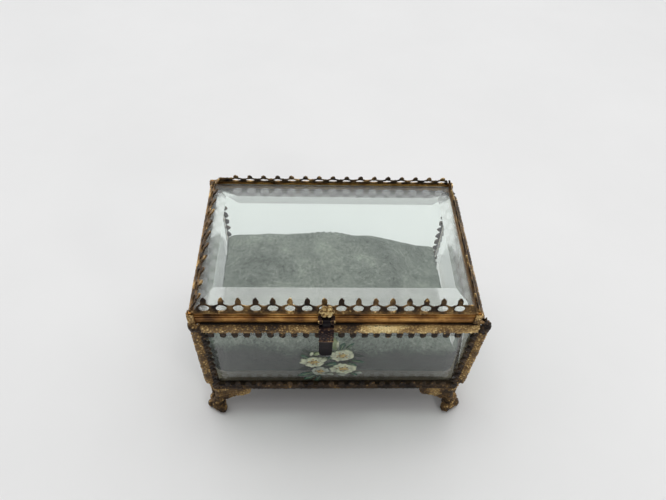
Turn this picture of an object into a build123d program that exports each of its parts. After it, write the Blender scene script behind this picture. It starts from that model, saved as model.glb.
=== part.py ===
from build123d import *

import os
from math import cos, radians, sin, tan

# A small glass and gilt-brass trinket casket. Millimetres, +Z up, the front faces -Y and the
# hinge runs along X. The origin is on the table, under the middle of the casket.

# ---------------------------------------------------------------- driving dimensions
GLASS_FACE_X = 50.6  # outer face of the side panes
GLASS_FACE_Y = 32.6  # outer face of the front and back panes
PANE_THICK = 3.0
PANE_EDGE_THICK = 1.2  # what the bevel leaves at the rim of a pane
PANE_BEVEL = 7.5
STRIP = 0.7  # stamped brass sheet

BASE_BOTTOM = 14.3
BASE_PLATE_THICK = 0.8
RIM_TOP = 62.0
TOP_BAND = 5.0
LOBE_PITCH = 4.12
LOBE_RADIUS = 1.15
LOBE_DROP = 3.4  # how far the scalloped lobes hang below the front band
SHORT_LOBE_DROP = 2.4  # the same on the side walls and on the bottom rim; the back band is plain
FRONT_LOBE_SHIFT = -1.75  # the front band was cut a little off centre

POST_LEG = 3.6
POST_CORNER_RADIUS = 2.7
BEAD_CENTRE = (-50.05, -32.05)  # front left post
BEAD_RADIUS = 1.9
BEAD_BOTTOM = 20.6
CORNER_CUT_TOP = 19.0  # below this the corner of a post is cut away over the foot
CORNER_CUT_REACH = 0.65  # how far inside the bead's centre the cut starts
CORNER_CUT_SIZE = 6.0
LUG_RADIUS = 2.3
LUG_HEIGHT = 59.8

LID_SHIFT_X = -2.0  # the lid sits a little to the left on its worn hinges
LID_HALF_X = 49.2
LID_HALF_Y = 32.4
LID_BOTTOM = 62.3
LID_FRAME_TOP = 67.3
LID_WALL = 1.0
LID_LEDGE = 1.6
LID_LEDGE_TOP = 64.4
LID_GLASS_TOP = 68.4
LID_GLASS_EDGE_THICK = 1.9
LID_BEVEL_X = 6.2
LID_BEVEL_Y = 9.2
LID_GLASS_GAP = 0.05

FRONT_TOOTH_PITCH = 5.69
SIDE_TOOTH_PITCH = 5.55
GALLERY_THICK = 0.6
GALLERY_BAND = 3.3  # height of the pierced band under the teeth
GALLERY_HEIGHT = 6.0
GALLERY_FOOT = 0.5
FRONT_TEETH_SHIFT = -1.1
BACK_TEETH_SHIFT = 2.9
LID_CLIP_LEG = 2.5
LID_CLIP_THICK = 0.45
LID_BEAD_CLEARANCE = 0.17
HOLE_RADII = (1.75, 1.2)
HOLE_HEIGHT = 1.75
BUD_HALF_WIDTH = 0.98

CLASP_SHIFT = 0.8  # the clasp sits a little to the right of the tooth gap it covers
CLASP_X = LID_SHIFT_X + FRONT_TEETH_SHIFT - FRONT_TOOTH_PITCH / 2 + CLASP_SHIFT
HASP_PIVOT = (-34.6, 66.1)  # y, z
HASP_WIDTH = 5.0
HASP_KNUCKLE_RADIUS = 1.0
HASP_PIN_RADIUS = 0.45

HINGE_PIVOT = (35.5, 62.15)  # y, z
HINGE_KNUCKLE_RADIUS = 1.25
HINGE_PIN_RADIUS = 0.6
HINGE_X = 27.0
HINGE_LENGTH = 12.0
HINGE_LEAF = 0.6
PIN_CLEARANCE = 0.06

CUSHION_HALF = (46.8, 28.8)
CUSHION_TOP = 42.5
BOARD_THICK = 1.2

SIDES = {"front": 0, "right": 90, "back": 180, "left": 270}


# ---------------------------------------------------------------- shared geometry
def directions(side):
    """The way along a wall and the way out of it."""
    turn = radians(SIDES[side])
    return Vector(cos(turn), sin(turn), 0), Vector(sin(turn), -cos(turn), 0)


def wall_plane(side, out, height=0.0, lean=0.0, shift=0.0):
    """A plane on a wall: x along the wall, y up (tipped inward by lean), z outward."""
    along, outward = directions(side)
    normal = outward * cos(radians(lean)) + Vector(0, 0, 1) * sin(radians(lean))
    origin = outward * out + along * shift + Vector(0, 0, height)
    return Plane(origin=origin, x_dir=along, z_dir=normal)


def section_plane(side):
    """A plane across a wall: x outward from the middle of the casket, y up."""
    along, outward = directions(side)
    return Plane(origin=(0, 0, 0), x_dir=outward, z_dir=along * -1)


def half_length(side, half_x, half_y):
    return half_x if side in ("front", "back") else half_y


def face_distance(side, half_x, half_y):
    return half_y if side in ("front", "back") else half_x


def mitre(side, half_x, half_y, low, high):
    """A prism with 45 degree ends that keeps one side of a rectangular frame."""
    reach = 12.0
    length = half_length(side, half_x, half_y)
    along, outward = directions(side)
    out = face_distance(side, half_x, half_y)
    plan = Plane(origin=outward * out + Vector(0, 0, low), x_dir=along, z_dir=(0, 0, 1))
    with BuildPart() as prism:
        with BuildSketch(plan):
            with BuildLine():
                Polyline(
                    (-length, 0),
                    (length, 0),
                    (length - reach, reach),
                    (-length + reach, reach),
                    close=True,
                )
            make_face()
        extrude(amount=high - low)
    return prism.part


def write(part, name):
    part.label = name
    export_step(part, f"parts/{name}.step")


def corner_copy(shape, corner):
    """The front left shape, mirrored to another corner."""
    if "right" in corner:
        shape = mirror(shape, about=Plane.YZ)
    if "back" in corner:
        shape = mirror(shape, about=Plane.XZ)
    return shape


CORNERS = ("front_left", "front_right", "back_left", "back_right")
os.makedirs("parts", exist_ok=True)


# ---------------------------------------------------------------- corner posts
FLANGE_LOW = RIM_TOP - STRIP
BACK_POST_TOP = RIM_TOP - TOP_BAND - 0.1  # the back posts end under the back and side bands
post_outer_x = GLASS_FACE_X + STRIP
post_outer_y = GLASS_FACE_Y + STRIP
with BuildPart() as post_room:
    with BuildSketch(Plane.XY.offset(BASE_BOTTOM)):
        with Locations((-GLASS_FACE_X, -GLASS_FACE_Y)):
            room = Rectangle(2 * POST_LEG, 2 * POST_LEG, align=(Align.MIN, Align.MIN))
        room_corner = room.vertices().sort_by(Axis.X)[:2].sort_by(Axis.Y)[0]
        fillet(room_corner, POST_CORNER_RADIUS - STRIP)
    extrude(amount=RIM_TOP - BASE_BOTTOM)


def corner_post(top, lobe_count, with_lug):
    """The front left post: a folded angle with lobed edges and a bead down its corner."""
    lobe_heights = [BASE_BOTTOM + LOBE_PITCH * (i + 0.6) for i in range(lobe_count)]
    with BuildPart() as post:
        with BuildSketch(Plane.XY.offset(BASE_BOTTOM)):
            with Locations((-post_outer_x, -post_outer_y)):
                outline = Rectangle(POST_LEG, POST_LEG, align=(Align.MIN, Align.MIN))
            fillet(outline.vertices().sort_by(Axis.X)[:2].sort_by(Axis.Y)[0], POST_CORNER_RADIUS)
        extrude(amount=top - BASE_BOTTOM)
        for side, sign, edge in (("front", -1, post_outer_x), ("left", 1, post_outer_y)):
            inner_edge = sign * (edge - POST_LEG)
            with BuildSketch(wall_plane(side, face_distance(side, GLASS_FACE_X, GLASS_FACE_Y))):
                with Locations(*[(inner_edge, height) for height in lobe_heights]):
                    Circle(LOBE_RADIUS * 1.25)
                with BuildSketch(mode=Mode.PRIVATE) as beyond:
                    with Locations((inner_edge, top / 2)):
                        cover_align = (Align.MAX, Align.CENTER) if sign < 0 else (Align.MIN, Align.CENTER)
                        Rectangle(2 * POST_LEG, 2 * top, align=cover_align)
                add(beyond.sketch, mode=Mode.SUBTRACT)
            extrude(amount=STRIP)
        # The corner is cut away over the foot.
        cut_at = (BEAD_CENTRE[0] + CORNER_CUT_REACH, BEAD_CENTRE[1] + CORNER_CUT_REACH, BASE_BOTTOM)
        cut_height = CORNER_CUT_TOP - BASE_BOTTOM
        with Locations(cut_at):
            cut_align = (Align.MAX, Align.MAX, Align.MIN)
            Box(CORNER_CUT_SIZE, CORNER_CUT_SIZE, cut_height, align=cut_align, mode=Mode.SUBTRACT)
        # The bead runs down the corner to a rounded end.
        with BuildSketch(Plane.XY.offset(BEAD_BOTTOM)):
            with Locations(BEAD_CENTRE):
                Circle(BEAD_RADIUS)
        extrude(amount=top - BEAD_BOTTOM)
        with Locations((BEAD_CENTRE[0], BEAD_CENTRE[1], BEAD_BOTTOM)):
            Sphere(BEAD_RADIUS)
        if with_lug:
            with Locations((BEAD_CENTRE[0], BEAD_CENTRE[1], LUG_HEIGHT)):
                Sphere(LUG_RADIUS)
        add(post_room.part, mode=Mode.SUBTRACT)
    return post.part


front_post = corner_post(FLANGE_LOW, 10, True)
back_post = corner_post(BACK_POST_TOP, 9, False)
posts = {}
for corner in CORNERS:
    posts[corner] = corner_copy(front_post if "front" in corner else back_post, corner)
for corner, shape in posts.items():
    write(shape, f"corner_post_{corner}")


# ---------------------------------------------------------------- glass panes
PANE_BOTTOM = BASE_BOTTOM + STRIP + BASE_PLATE_THICK
PANE_TOP = FLANGE_LOW
FRONT_PANE_HALF = post_outer_x - POST_CORNER_RADIUS
SIDE_PANE_HALF = GLASS_FACE_Y - PANE_THICK - 0.2


def pane(side, half_width):
    """A bevelled pane, its bevel on the outer face."""
    inner = wall_plane(
        side,
        face_distance(side, GLASS_FACE_X, GLASS_FACE_Y) - PANE_THICK,
        height=(PANE_BOTTOM + PANE_TOP) / 2,
    )
    height = PANE_TOP - PANE_BOTTOM
    with BuildPart() as glass:
        with BuildSketch(inner):
            Rectangle(2 * half_width, height)
        extrude(amount=PANE_EDGE_THICK)
        with BuildSketch(inner.offset(PANE_EDGE_THICK)):
            Rectangle(2 * half_width, height)
        with BuildSketch(inner.offset(PANE_THICK)):
            Rectangle(2 * (half_width - PANE_BEVEL), height - 2 * PANE_BEVEL)
        loft()
    return glass.part


for side in SIDES:
    write(pane(side, half_length(side, FRONT_PANE_HALF, SIDE_PANE_HALF)), f"glass_{side}")


# ---------------------------------------------------------------- body rims
def lobes(side, length, root, tip, shift=0.0):
    """A row of round-ended lobes on a wall, from the band at root out to the tips."""
    count = 2 * int(length / LOBE_PITCH)
    direction = 1 if tip > root else -1
    centre = tip - direction * LOBE_RADIUS
    face = face_distance(side, GLASS_FACE_X, GLASS_FACE_Y)
    with BuildPart() as row:
        with BuildSketch(wall_plane(side, face)):
            with Locations((shift, (root + centre) / 2)):
                with GridLocations(LOBE_PITCH, 1, count, 1):
                    Rectangle(2 * LOBE_RADIUS, abs(centre - root))
            with Locations((shift, centre)):
                with GridLocations(LOBE_PITCH, 1, count, 1):
                    Circle(LOBE_RADIUS)
        extrude(amount=STRIP)
    return row.part


def rim(side, section, flange, lobe_row, short_by):
    """One side of a body rim: a mitred flange, and a band that stops short of the corners."""
    low, depth, inset = flange
    face = face_distance(side, GLASS_FACE_X, GLASS_FACE_Y)
    length = half_length(side, GLASS_FACE_X, GLASS_FACE_Y)
    with BuildPart() as strip:
        with BuildSketch(section_plane(side)):
            tuck = max(0.0, inset - STRIP / 2)
            with Locations((face - (depth + tuck) / 2, low + STRIP / 2)):
                Rectangle(depth - tuck, STRIP)
        extrude(amount=length, both=True)
        add(mitre(side, GLASS_FACE_X, GLASS_FACE_Y, low, low + STRIP), mode=Mode.INTERSECT)
        for shape in corner_cuts:
            add(shape, mode=Mode.SUBTRACT)
        with BuildSketch(section_plane(side).offset(length - short_by[0])):
            with BuildLine():
                section(face, inset)
            make_face()
        extrude(amount=short_by[0] + short_by[1] - 2 * length)
        if lobe_row is not None:
            add(lobe_row)
        for shape in posts.values():
            add(shape, mode=Mode.SUBTRACT)
    return strip.part


TOP_BULGE = 1.15
BOTTOM_BULGE = 0.95
TOP_FLANGE = 2.4
SIDE_BAND_LEAN = 1.7
TOP_SHORT_BY = {"front": (2.6, 2.6), "right": (2.6, 1.75), "back": (1.2, 1.2), "left": (1.75, 2.6)}
BOTTOM_BAND = 3.2
BOTTOM_FLANGE = 4.2
BOTTOM_SHORT_BY = (3.0, 3.0)
BOTTOM_CORNER_CUT = 4.2
TOP_CORNER_CUT = 1.4
with BuildPart() as corner_cut:
    for height, size in ((BASE_BOTTOM, BOTTOM_CORNER_CUT), (FLANGE_LOW, TOP_CORNER_CUT)):
        with BuildSketch(Plane.XY.offset(height - 1)):
            with Locations((-GLASS_FACE_X, -GLASS_FACE_Y)):
                Rectangle(size, size, rotation=45)
        extrude(amount=STRIP + 2)
corner_cuts = [corner_copy(corner_cut.part, corner) for corner in CORNERS]


def top_section(face, lean):
    """A rounded band down the outside of the glass. Its top leans in along the bevel."""
    band_low = RIM_TOP - TOP_BAND
    outer = face + STRIP + 0.1
    fullest = (face + TOP_BULGE - 0.6 * lean, RIM_TOP - TOP_BAND * 0.4)
    Polyline((outer, band_low), (face, band_low), (face - lean, RIM_TOP), (outer - lean, RIM_TOP))
    ThreePointArc((outer - lean, RIM_TOP), fullest, (outer, band_low))


def bottom_section(face, lean):
    """A small bead and a band up the outside of the glass."""
    outer = face + STRIP
    bead_top = BASE_BOTTOM + BOTTOM_BAND - 1.0
    Polyline(
        (outer, bead_top),
        (outer, BASE_BOTTOM + BOTTOM_BAND),
        (face, BASE_BOTTOM + BOTTOM_BAND),
        (face, BASE_BOTTOM),
        (outer, BASE_BOTTOM),
    )
    ThreePointArc(
        (outer, BASE_BOTTOM),
        (face + BOTTOM_BULGE, (BASE_BOTTOM + bead_top) / 2),
        (outer, bead_top),
    )


for side in SIDES:
    run = half_length(side, GLASS_FACE_X, GLASS_FACE_Y) - POST_LEG
    drop = LOBE_DROP if side == "front" else SHORT_LOBE_DROP
    shift = FRONT_LOBE_SHIFT if side == "front" else 0.0
    lean = 0.0 if side in ("front", "back") else SIDE_BAND_LEAN
    band_low = RIM_TOP - TOP_BAND
    hanging = None if side == "back" else lobes(side, run, band_low, band_low - drop, shift)
    rising = lobes(side, run, BASE_BOTTOM + BOTTOM_BAND, BASE_BOTTOM + BOTTOM_BAND + SHORT_LOBE_DROP)
    top_flange = (FLANGE_LOW, TOP_FLANGE, lean)
    bottom_flange = (BASE_BOTTOM, BOTTOM_FLANGE, 0.0)
    write(rim(side, top_section, top_flange, hanging, TOP_SHORT_BY[side]), f"top_rim_{side}")
    write(rim(side, bottom_section, bottom_flange, rising, BOTTOM_SHORT_BY), f"bottom_rim_{side}")


# ---------------------------------------------------------------- base plate, board and cushion
PLATE_HALF = (GLASS_FACE_X - 0.1, GLASS_FACE_Y - 0.1)
with BuildPart() as base_plate:
    with BuildSketch(Plane.XY.offset(BASE_BOTTOM + STRIP)):
        Rectangle(2 * PLATE_HALF[0], 2 * PLATE_HALF[1])
    extrude(amount=BASE_PLATE_THICK)
    chamfer(base_plate.edges().filter_by(Axis.Z), 3.0)
write(base_plate.part, "base_plate")

with BuildPart() as pad_board:
    with BuildSketch(Plane.XY.offset(PANE_BOTTOM)):
        Rectangle(2 * CUSHION_HALF[0], 2 * CUSHION_HALF[1])
    extrude(amount=BOARD_THICK)
write(pad_board.part, "pad_board")

with BuildPart() as cushion:
    with BuildSketch(Plane.XY.offset(PANE_BOTTOM + BOARD_THICK)):
        RectangleRounded(2 * CUSHION_HALF[0], 2 * CUSHION_HALF[1], 5)
    extrude(amount=CUSHION_TOP - PANE_BOTTOM - BOARD_THICK)
    fillet(cushion.faces().sort_by(Axis.Z)[-1].edges(), 4.5)
write(cushion.part, "cushion")


# ---------------------------------------------------------------- feet
KNEE_CENTRE = (-48.0, -30.6)
ANKLE_CENTRE = (-47.6, -32.0)
PAW_CENTRE = (-48.6, -33.5)
SOLE_RADIUS = 2.9
TOES = ((-51.3, -33.1, 1.9), (-46.9, -35.5, 2.0), (-51.0, -30.2, 1.7))  # x, y, radius
WING_ROOT = 2.6  # from the corner to the thick end of a wing
WING_SPAN = 16.8
WING_THICK = 1.3
WING_LOW = 4.6  # height of a wing's lowest point, beside the leg
WING_TIP = 12.6
WING_INNER = 6.6  # from the corner to the inner end of the scallop
WING_MIDDLE = 12.0
with BuildPart() as foot:
    # Two wings of the knee bracket, under the front rim and under the side rim.
    for side, mirrored in (("front", 1), ("left", -1)):
        corner_at = -mirrored * half_length(side, post_outer_x, post_outer_y)
        face = face_distance(side, post_outer_x, post_outer_y)
        with BuildSketch(wall_plane(side, face - WING_THICK)):
            with BuildLine():
                tip = corner_at + mirrored * WING_SPAN
                middle = corner_at + mirrored * WING_MIDDLE
                inner = corner_at + mirrored * WING_INNER
                start = corner_at + mirrored * WING_ROOT
                Polyline(
                    (inner, WING_LOW),
                    (start, WING_LOW),
                    (start, BASE_BOTTOM),
                    (tip, BASE_BOTTOM),
                    (tip, WING_TIP),
                )
                ThreePointArc((tip, WING_TIP), (tip - mirrored * 1.5, 9.6), (middle, 8.2))
                ThreePointArc((middle, 8.2), ((middle + inner) / 2, 6.9), (inner, WING_LOW))
            make_face()
        extrude(amount=WING_THICK)
    # The leg: knee, ankle and the root of the paw.
    for centre, height, size in (
        (KNEE_CENTRE, BASE_BOTTOM, 5.6),
        (ANKLE_CENTRE, 7.6, 3.6),
        (PAW_CENTRE, 2.8, 4.8),
    ):
        with BuildSketch(Plane.XY.offset(height)):
            with Locations(Location(centre, 45)):
                RectangleRounded(size, size, size * 0.35)
    loft()
    # The paw spreads into toes, flat underneath.
    for x, y, radius in TOES:
        with Locations((x, y, radius * 0.78)):
            Sphere(radius)
    with Locations((PAW_CENTRE[0], PAW_CENTRE[1], 1.9)):
        Sphere(SOLE_RADIUS)
    split(bisect_by=Plane.XY, keep=Keep.TOP)
for corner in CORNERS:
    write(corner_copy(foot.part, corner), f"foot_{corner}")


# ---------------------------------------------------------------- painted flowers on the front pane
PAINT_THICK = 0.2
BLOSSOMS = ((-9.2, 35.2, 4.6), (1.4, 40.4, 4.3), (2.2, 29.8, 4.4), (-6.6, 28.0, 3.2), (-2.2, 47.0, 2.4))
with BuildPart() as painted_flowers:
    with BuildSketch(wall_plane("front", GLASS_FACE_Y)):
        for x, z, radius in BLOSSOMS:
            with Locations((x, z)):
                Circle(radius)
        with Locations((-3.4, 34.6), (-2.6, 43.4)):
            Circle(3.4)
    extrude(amount=PAINT_THICK)
write(painted_flowers.part, "painted_flowers")


# ---------------------------------------------------------------- lid frame and glass
def lid_section(face):
    """Plain band, a groove, a bead, a second groove and a lip; a ledge inside holds the glass."""
    groove = face - 0.35
    Polyline(
        (face, 65.0),
        (face, LID_BOTTOM),
        (face - LID_LEDGE, LID_BOTTOM),
        (face - LID_LEDGE, LID_LEDGE_TOP),
        (face - LID_WALL, LID_LEDGE_TOP),
        (face - LID_WALL, LID_FRAME_TOP),
        (face - 0.1, LID_FRAME_TOP),
        (face - 0.1, 67.0),
        (groove, 66.9),
        (groove, 66.6),
    )
    ThreePointArc((groove, 66.6), (face + 0.15, 66.0), (groove, 65.4))
    Polyline((groove, 65.4), (groove, 65.1), (face, 65.0))


def lid_frame(side):
    with BuildPart() as bar:
        with BuildSketch(section_plane(side)):
            with BuildLine():
                lid_section(face_distance(side, LID_HALF_X, LID_HALF_Y))
            make_face()
        extrude(amount=half_length(side, LID_HALF_X, LID_HALF_Y) + 1, both=True)
        add(mitre(side, LID_HALF_X + 1, LID_HALF_Y + 1, 60.0, 70.0), mode=Mode.INTERSECT)
    return Pos(LID_SHIFT_X, 0, 0) * bar.part


for side in SIDES:
    write(lid_frame(side), f"lid_frame_{side}")

glass_half_x = LID_HALF_X - LID_WALL - LID_GLASS_GAP
glass_half_y = LID_HALF_Y - LID_WALL - LID_GLASS_GAP
glass_plane = Plane(origin=(LID_SHIFT_X, 0, LID_LEDGE_TOP))
with BuildPart() as lid_glass:
    with BuildSketch(glass_plane):
        Rectangle(2 * glass_half_x, 2 * glass_half_y)
    extrude(amount=LID_GLASS_EDGE_THICK)
    with BuildSketch(glass_plane.offset(LID_GLASS_EDGE_THICK)):
        Rectangle(2 * glass_half_x, 2 * glass_half_y)
    with BuildSketch(glass_plane.offset(LID_GLASS_TOP - LID_LEDGE_TOP)):
        Rectangle(2 * (glass_half_x - LID_BEVEL_X), 2 * (glass_half_y - LID_BEVEL_Y))
    loft()
write(lid_glass.part, "lid_glass")

# Clips folded round the corners of the lid frame.
with BuildPart() as lid_clip:
    with BuildSketch(Plane.XY.offset(LID_BOTTOM)):
        clip_x = -LID_HALF_X - LID_BEAD_CLEARANCE
        clip_y = -LID_HALF_Y - LID_BEAD_CLEARANCE
        with Locations((clip_x - LID_CLIP_THICK, clip_y - LID_CLIP_THICK)):
            clip_outline = Rectangle(LID_CLIP_LEG, LID_CLIP_LEG, align=(Align.MIN, Align.MIN))
        fillet(clip_outline.vertices().sort_by(Axis.X)[:2].sort_by(Axis.Y)[0], 0.4)
        with Locations((clip_x, clip_y)):
            Rectangle(LID_CLIP_LEG, LID_CLIP_LEG, align=(Align.MIN, Align.MIN), mode=Mode.SUBTRACT)
    extrude(amount=LID_FRAME_TOP - LID_BOTTOM - 0.2)
for corner in CORNERS:
    write(Pos(LID_SHIFT_X, 0, 0) * corner_copy(lid_clip.part, corner), f"lid_clip_{corner}")


# ---------------------------------------------------------------- pierced galleries on the lid
LEAN = {"front": 20.0, "back": 24.0, "left": 38.0, "right": 20.0}
TEETH = {"front": 16, "back": 16, "left": 11, "right": 11}
TOOTH_PITCH = {
    "front": FRONT_TOOTH_PITCH,
    "back": SIDE_TOOTH_PITCH,
    "left": SIDE_TOOTH_PITCH,
    "right": SIDE_TOOTH_PITCH,
}
TEETH_SHIFT = {"front": FRONT_TEETH_SHIFT, "back": -BACK_TEETH_SHIFT, "left": 0.0, "right": 0.0}
NEIGHBOURS = {
    "front": ("left", "right"),
    "right": ("front", "back"),
    "back": ("right", "left"),
    "left": ("back", "front"),
}


def gallery(side):
    """A leaning strip with a hole under each bud-shaped tooth, on a narrow foot."""
    face = face_distance(side, LID_HALF_X, LID_HALF_Y)
    half = half_length(side, LID_HALF_X, LID_HALF_Y) - LID_WALL + 0.1
    lean = radians(LEAN[side])
    slopes = [tan(radians(LEAN[other])) * cos(lean) for other in NEIGHBOURS[side]]
    ends = [half - GALLERY_THICK, half - GALLERY_THICK]
    strip_plane = wall_plane(side, face - LID_WALL + 0.1, LID_FRAME_TOP, LEAN[side])
    pitch = TOOTH_PITCH[side]
    first = TEETH_SHIFT[side] - pitch * (TEETH[side] - 1) / 2
    tooth_xs = [first + pitch * i for i in range(TEETH[side])]
    with BuildPart() as strip:
        with BuildSketch(strip_plane):
            with BuildLine():
                Polyline(
                    (-ends[0], 0),
                    (ends[1], 0),
                    (ends[1] - slopes[1] * GALLERY_BAND, GALLERY_BAND),
                    (-ends[0] + slopes[0] * GALLERY_BAND, GALLERY_BAND),
                    close=True,
                )
            make_face()
            with Locations(*[(x + pitch / 2, GALLERY_BAND + 1.9) for x in tooth_xs[:-1]]):
                Circle(2.5, mode=Mode.SUBTRACT)
            with Locations(*[(x, HOLE_HEIGHT) for x in tooth_xs]):
                Ellipse(*HOLE_RADII, mode=Mode.SUBTRACT)
            for x in tooth_xs:
                with BuildLine():
                    low = (x - BUD_HALF_WIDTH * 0.7, GALLERY_BAND - 0.25)
                    tip = (x, GALLERY_HEIGHT)
                    opposite = (x + BUD_HALF_WIDTH * 0.7, GALLERY_BAND - 0.25)
                    ThreePointArc(low, (x - BUD_HALF_WIDTH, 4.4), tip)
                    ThreePointArc(tip, (x + BUD_HALF_WIDTH, 4.4), opposite)
                    Line(opposite, low)
                make_face()
        extrude(amount=GALLERY_THICK)
        with BuildSketch(wall_plane(side, face - LID_WALL, LID_FRAME_TOP)):
            with Locations((0, GALLERY_FOOT / 2)):
                Rectangle(2 * half, GALLERY_FOOT)
        extrude(amount=LID_WALL - 0.1)
        foot_half_x = LID_HALF_X - 0.1
        foot_half_y = LID_HALF_Y - 0.1
        prism = mitre(side, foot_half_x, foot_half_y, LID_FRAME_TOP, LID_FRAME_TOP + 10)
        add(prism, mode=Mode.INTERSECT)
    return Pos(LID_SHIFT_X, 0, 0) * strip.part


for side in SIDES:
    write(gallery(side), f"gallery_{side}")


# ---------------------------------------------------------------- lid hinges
def knuckles(centres, length):
    """Barrels along the hinge axis, bored for the pin."""
    pivot_y, pivot_z = HINGE_PIVOT
    with BuildPart() as barrel:
        for x in centres:
            with Locations(Location((x, pivot_y, pivot_z), (0, 90, 0))):
                Cylinder(HINGE_KNUCKLE_RADIUS, length)
    return barrel.part


def pin_bore(x, pivot, radius, length):
    with BuildPart() as bore:
        with Locations(Location((x, pivot[0], pivot[1]), (0, 90, 0))):
            Cylinder(radius, length)
    return bore.part


RIM_CLEARANCE = 0.07
BASE_KNUCKLE = 3.4
LID_KNUCKLE = 4.8
BACK_RIM_FACE = GLASS_FACE_Y + TOP_BULGE
for name, hinge_x in (("left", -HINGE_X), ("right", HINGE_X)):
    bore = pin_bore(hinge_x, HINGE_PIVOT, HINGE_PIN_RADIUS + PIN_CLEARANCE, 20)
    outer_centres = [hinge_x - (LID_KNUCKLE + BASE_KNUCKLE) / 2 - 0.1]
    outer_centres.append(hinge_x + (LID_KNUCKLE + BASE_KNUCKLE) / 2 + 0.1)
    leaf_low = 54.6
    with BuildPart() as base_leaf:
        with BuildSketch(wall_plane("back", BACK_RIM_FACE + RIM_CLEARANCE, shift=-hinge_x)):
            with Locations((0, (leaf_low + 60.0) / 2)):
                RectangleRounded(HINGE_LENGTH, 60.0 - leaf_low, 0.8)
        extrude(amount=HINGE_LEAF)
        with BuildSketch(wall_plane("back", BACK_RIM_FACE + RIM_CLEARANCE)):
            with Locations(*[(-x, 60.2) for x in outer_centres]):
                Rectangle(BASE_KNUCKLE, 3.0)
        extrude(amount=HINGE_LEAF)
        add(knuckles(outer_centres, BASE_KNUCKLE))
        add(bore, mode=Mode.SUBTRACT)
    write(base_leaf.part, f"hinge_leaf_base_{name}")
    with BuildPart() as lid_leaf:
        with BuildSketch(wall_plane("back", LID_HALF_Y + LID_BEAD_CLEARANCE, shift=-hinge_x)):
            with Locations((0, 64.7)):
                RectangleRounded(HINGE_LENGTH, 3.4, 0.8)
        extrude(amount=HINGE_LEAF)
        with Locations((hinge_x, (LID_HALF_Y + 0.2 + HINGE_PIVOT[0]) / 2, 63.15)):
            Box(LID_KNUCKLE, HINGE_PIVOT[0] - LID_HALF_Y - 0.2, 0.5)
        add(knuckles([hinge_x], LID_KNUCKLE))
        add(bore, mode=Mode.SUBTRACT)
    write(lid_leaf.part, f"hinge_leaf_lid_{name}")
    pin_length = LID_KNUCKLE + 2 * BASE_KNUCKLE + 1.2
    with BuildPart() as pin:
        add(pin_bore(hinge_x, HINGE_PIVOT, HINGE_PIN_RADIUS, pin_length))
        for end in (-1, 1):
            with Locations((hinge_x + end * pin_length / 2, HINGE_PIVOT[0], HINGE_PIVOT[1])):
                Sphere(HINGE_PIN_RADIUS * 1.35)
    write(pin.part, f"hinge_pin_{name}")


# ---------------------------------------------------------------- clasp
hasp_y, hasp_z = HASP_PIVOT
EAR_WIDTH = 1.0
hasp_bore = pin_bore(CLASP_X, HASP_PIVOT, HASP_PIN_RADIUS + PIN_CLEARANCE, 12)
ear_centres = [CLASP_X - (HASP_WIDTH - EAR_WIDTH) / 2, CLASP_X + (HASP_WIDTH - EAR_WIDTH) / 2]
BRACKET_FACE = LID_HALF_Y + LID_BEAD_CLEARANCE
with BuildPart() as hasp_bracket:
    with BuildSketch(wall_plane("front", BRACKET_FACE)):
        with Locations((CLASP_X, 64.9)):
            RectangleRounded(HASP_WIDTH + 0.8, 4.4, 0.8)
    extrude(amount=0.6)
    for x in ear_centres:
        with Locations(Location((x, hasp_y, hasp_z), (0, 90, 0))):
            Cylinder(HASP_KNUCKLE_RADIUS, EAR_WIDTH)
        with Locations((x, (hasp_y - BRACKET_FACE) / 2, hasp_z)):
            Box(EAR_WIDTH, -hasp_y - BRACKET_FACE, 1.2)
    add(hasp_bore, mode=Mode.SUBTRACT)
write(hasp_bracket.part, "hasp_bracket")

with BuildPart() as hasp_pin:
    add(pin_bore(CLASP_X, HASP_PIVOT, HASP_PIN_RADIUS, HASP_WIDTH + 0.7))
write(hasp_pin.part, "hasp_pin")

# The hasp: a knuckle, a strap that arches over the catch, and a smooth thumb tongue.
HASP_THICK = 0.9
KNUCKLE_WIDTH = HASP_WIDTH - 2 * EAR_WIDTH - 0.2
STRAP_LINE = (  # outward from the middle of the casket, height
    (35.0, hasp_z - 1.75),
    (36.0, 62.3),
    (36.2, 58.8),
    (35.8, 54.6),
    (35.5, 50.8),
    (36.1, 46.8),
)
strap_plane = Plane(origin=(CLASP_X, 0, 0), x_dir=(0, -1, 0), z_dir=(-1, 0, 0))
with BuildPart() as hasp:
    with BuildSketch(strap_plane):
        with BuildLine():
            inner_line = Spline(*[(out - HASP_THICK / 2, height) for out, height in STRAP_LINE])
            outer_line = Spline(*[(out + HASP_THICK / 2, height) for out, height in STRAP_LINE])
            Line(inner_line @ 0, outer_line @ 0)
            Line(inner_line @ 1, outer_line @ 1)
        make_face()
    extrude(amount=HASP_WIDTH / 2, both=True)
    tongue_end = hasp.faces().sort_by(Axis.Z)[0]
    fillet(tongue_end.edges().filter_by(Axis.Y), 1.6)
    with Locations(Location((CLASP_X, hasp_y, hasp_z), (0, 90, 0))):
        Cylinder(HASP_KNUCKLE_RADIUS, KNUCKLE_WIDTH)
    with Locations((CLASP_X, -35.0, hasp_z - 1.3)):
        Box(KNUCKLE_WIDTH, 0.9, 1.6)
    add(hasp_bore, mode=Mode.SUBTRACT)
write(hasp.part, "hasp")

FRONT_RIM_FACE = GLASS_FACE_Y + TOP_BULGE
with BuildPart() as catch_stud:
    with BuildSketch(wall_plane("front", FRONT_RIM_FACE + RIM_CLEARANCE)):
        with Locations((CLASP_X, RIM_TOP - TOP_BAND / 2)):
            Circle(1.1)
    extrude(amount=0.55)
    fillet(catch_stud.faces().sort_by(Axis.Y)[0].edges(), 0.3)
write(catch_stud.part, "catch_stud")

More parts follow.
